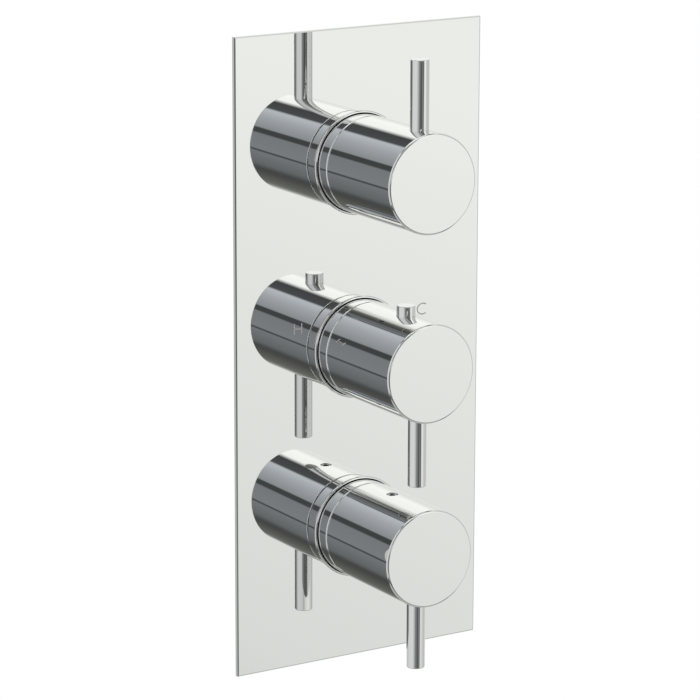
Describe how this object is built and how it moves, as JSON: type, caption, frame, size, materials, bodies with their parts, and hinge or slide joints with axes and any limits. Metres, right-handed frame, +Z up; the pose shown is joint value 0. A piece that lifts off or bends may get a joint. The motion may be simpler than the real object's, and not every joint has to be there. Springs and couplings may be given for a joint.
{
  "type": "thermostatic shower valve",
  "caption": "Concealed thermostatic shower valve: tall flat chrome plate, round lever knobs on horizontal axes, brass body with hot and cold inlets and two outlets.",
  "frame": {"origin": "on the middle control's axis, in the plane of the finished wall, which is the back of the foam seal", "axes": "+X to the user's right, +Y into the wall, +Z up; the user stands at -Y"},
  "size_m": [0.132, 0.1335, 0.3],
  "materials": {
    "chrome": "polished chromium plate on brass",
    "cast_brass": "sand-cast brass, shot-blasted",
    "turned_brass": "turned brass",
    "steel": "bright stainless steel",
    "black_rubber": "moulded EPDM rubber",
    "foam": "closed-cell foam strip",
    "red_fibre": "pressed fibre washer",
    "ceramic": "lapped alumina ceramic",
    "white_acetal": "moulded acetal"
  },
  "bodies": {
    "root": {"cover_plate": "chrome", "top_sleeve": "chrome", "middle_sleeve": "chrome", "bottom_sleeve": "chrome", "valve_body": "cast_brass", "top_cartridge": "turned_brass", "bottom_cartridge": "turned_brass", "thermostat_housing": "turned_brass", "thermostat_nut": "turned_brass", "inlet_unions": "turned_brass", "return_spring": "steel", "hot_check_spring": "steel", "cold_check_spring": "steel", "inlet_filters": "steel", "sleeve_seals": "black_rubber", "cartridge_seals": "black_rubber", "wall_seal": "foam", "inlet_seals": "red_fibre", "top_fixed_disc": "ceramic", "bottom_fixed_disc": "ceramic", "stop_ring": "white_acetal", "check_housings": "white_acetal"},
    "top_control": {"top_handle": "chrome", "top_lever": "chrome", "top_grub_screw": "steel", "top_adaptor": "turned_brass", "top_spindle": "turned_brass", "top_moving_disc": "ceramic"},
    "bottom_control": {"bottom_handle": "chrome", "bottom_lever": "chrome", "bottom_grub_screw": "steel", "bottom_adaptor": "turned_brass", "bottom_spindle": "turned_brass", "bottom_moving_disc": "ceramic"},
    "temperature_control": {"temperature_handle": "chrome", "temperature_lever": "chrome", "temperature_adaptor": "turned_brass", "temperature_spindle": "turned_brass", "button_spring": "steel"},
    "button": {"override_button": "chrome"},
    "mixing_shuttle": {"adjuster": "turned_brass", "wax_capsule": "turned_brass", "shuttle": "white_acetal"},
    "hot_poppet": {"hot_check_poppet": "white_acetal"},
    "cold_poppet": {"cold_check_poppet": "white_acetal"}
  },
  "joints": [
    {"name": "top_turn", "type": "hinge", "parent": "root", "child": "top_control", "pos_m": [0, -0.03, 0.087], "axis": [0, -1, 0], "range_deg": [0, 90]},
    {"name": "bottom_turn", "type": "hinge", "parent": "root", "child": "bottom_control", "pos_m": [0, -0.03, -0.087], "axis": [0, -1, 0], "range_deg": [0, 90]},
    {"name": "temperature_turn", "type": "hinge", "parent": "root", "child": "temperature_control", "pos_m": [0, -0.03, 0], "axis": [0, -1, 0], "range_deg": [-70, 70]},
    {"name": "button_press", "type": "slide", "parent": "temperature_control", "child": "button", "axis": [0, 0, -1], "range_m": [0, 0.0025], "stiffness_N_per_m": 1200, "springref_m": -0.002, "deforming": ["button_spring"]},
    {"name": "shuttle_slide", "type": "slide", "parent": "root", "child": "mixing_shuttle", "axis": [0, 1, 0], "range_m": [-0.0006, 0.0006], "deforming": ["return_spring"]},
    {"name": "hot_check_open", "type": "slide", "parent": "root", "child": "hot_poppet", "axis": [1, 0, 0], "range_m": [0, 0.0025], "stiffness_N_per_m": 60, "springref_m": -0.002, "deforming": ["hot_check_spring"]},
    {"name": "cold_check_open", "type": "slide", "parent": "root", "child": "cold_poppet", "axis": [-1, 0, 0], "range_m": [0, 0.0025], "stiffness_N_per_m": 60, "springref_m": -0.002, "deforming": ["cold_check_spring"]}
  ],
  "couplings": [
    {"joint": "shuttle_slide", "follows": "temperature_turn", "m_per_rad": 0.00047746}
  ]
}
